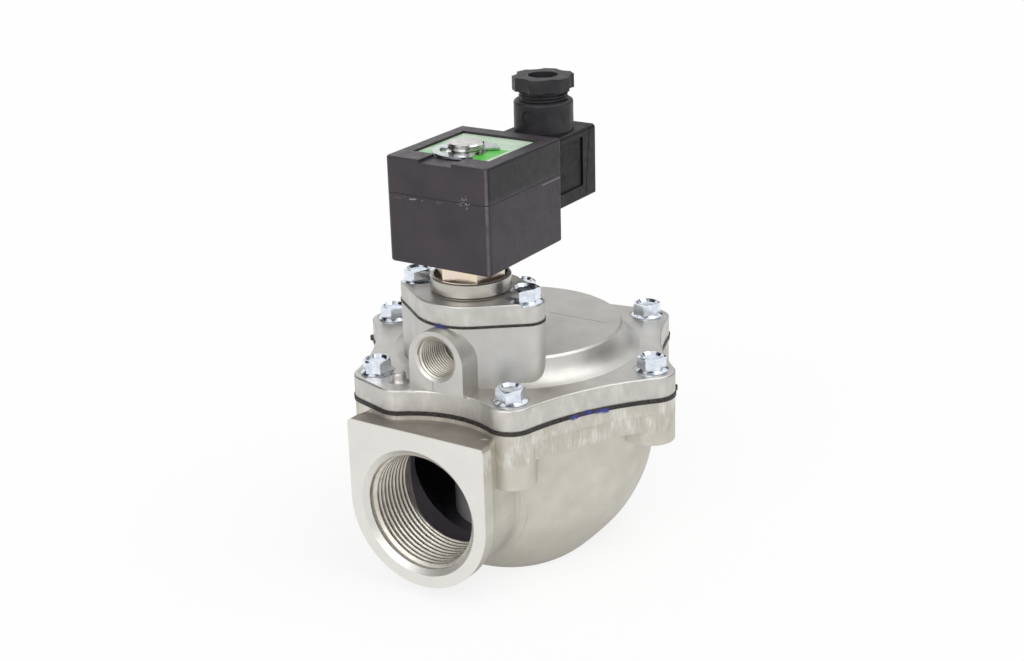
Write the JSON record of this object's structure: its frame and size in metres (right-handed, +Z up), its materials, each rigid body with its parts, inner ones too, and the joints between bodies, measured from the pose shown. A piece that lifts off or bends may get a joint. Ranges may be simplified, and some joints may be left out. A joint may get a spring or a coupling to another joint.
{
  "type": "diaphragm pulse valve",
  "caption": "Right-angle diaphragm pulse valve in cast aluminium with threaded ports, pilot stage, solenoid coil and cable plug, for cleaning dust filters with bursts of air.",
  "frame": {"origin": "centre of the outlet port's face, under the valve, where the diaphragm's axis meets it", "axes": "+Z up along the diaphragm's axis and out of the cable gland, -Y out of the inlet port, +Y towards the electrical connector"},
  "size_m": [0.1426, 0.1362, 0.1849],
  "materials": {
    "cast_aluminium": "cast, lightly tumbled, satin",
    "zinc_steel": "bright blue-white zinc plate",
    "yellow_zinc": "yellow iridescent zinc plate",
    "stainless": "turned, bright",
    "spring_steel": "drawn spring wire",
    "core_steel": "turned magnetic stainless",
    "black_rubber": "smooth moulded rubber",
    "coil_resin": "matte moulded epoxy",
    "black_nylon": "satin moulded polyamide",
    "label_film": "printed film in pale green",
    "brass_tin": "tinned brass"
  },
  "bodies": {
    "housing": {"valve_body": "cast_aluminium", "main_diaphragm": "black_rubber", "main_spring": "spring_steel", "main_cover": "cast_aluminium", "cover_bolts": "zinc_steel", "pilot_diaphragm": "black_rubber", "pilot_spring": "spring_steel", "pilot_cover": "cast_aluminium", "pilot_bolts": "zinc_steel", "solenoid_base_nut": "yellow_zinc", "base_o_ring": "black_rubber", "core_tube": "stainless", "fixed_core": "core_steel", "plunger_spring": "spring_steel", "retaining_clip": "stainless"},
    "main_valve": {"upper_disc": "stainless", "lower_disc": "stainless", "disc_screw": "zinc_steel", "disc_nut": "zinc_steel"},
    "pilot_valve": {"pilot_disc": "stainless", "pilot_rivet": "stainless"},
    "plunger": {"plunger": "core_steel", "plunger_seal": "black_rubber"},
    "coil_unit": {"coil": "coil_resin", "terminal_pins": "brass_tin", "nameplate": "label_film", "connector_gasket": "black_rubber", "connector_housing": "black_nylon", "terminal_block": "black_nylon", "connector_cover": "black_nylon", "connector_screw": "zinc_steel", "gland_grommet": "black_rubber", "gland_washer": "stainless", "gland_nut": "black_nylon"}
  },
  "joints": [
    {"name": "main_lift", "type": "slide", "parent": "housing", "child": "main_valve", "axis": [0, 0, 1], "range_m": [0, 0.008], "stiffness_N_per_m": 600, "springref_m": -0.012, "deforming": ["main_spring", "main_diaphragm"]},
    {"name": "pilot_lift", "type": "slide", "parent": "housing", "child": "pilot_valve", "axis": [0, 0, 1], "range_m": [0, 0.002], "stiffness_N_per_m": 400, "springref_m": -0.004, "deforming": ["pilot_spring", "pilot_diaphragm"]},
    {"name": "plunger_lift", "type": "slide", "parent": "housing", "child": "plunger", "axis": [0, 0, 1], "range_m": [0, 0.0018], "stiffness_N_per_m": 500, "springref_m": -0.003, "deforming": ["plunger_spring"]},
    {"name": "coil_turn", "type": "hinge", "parent": "housing", "child": "coil_unit", "pos_m": [0, -0.0315, 0.147], "axis": [0, 0, 1], "continuous": true}
  ]
}
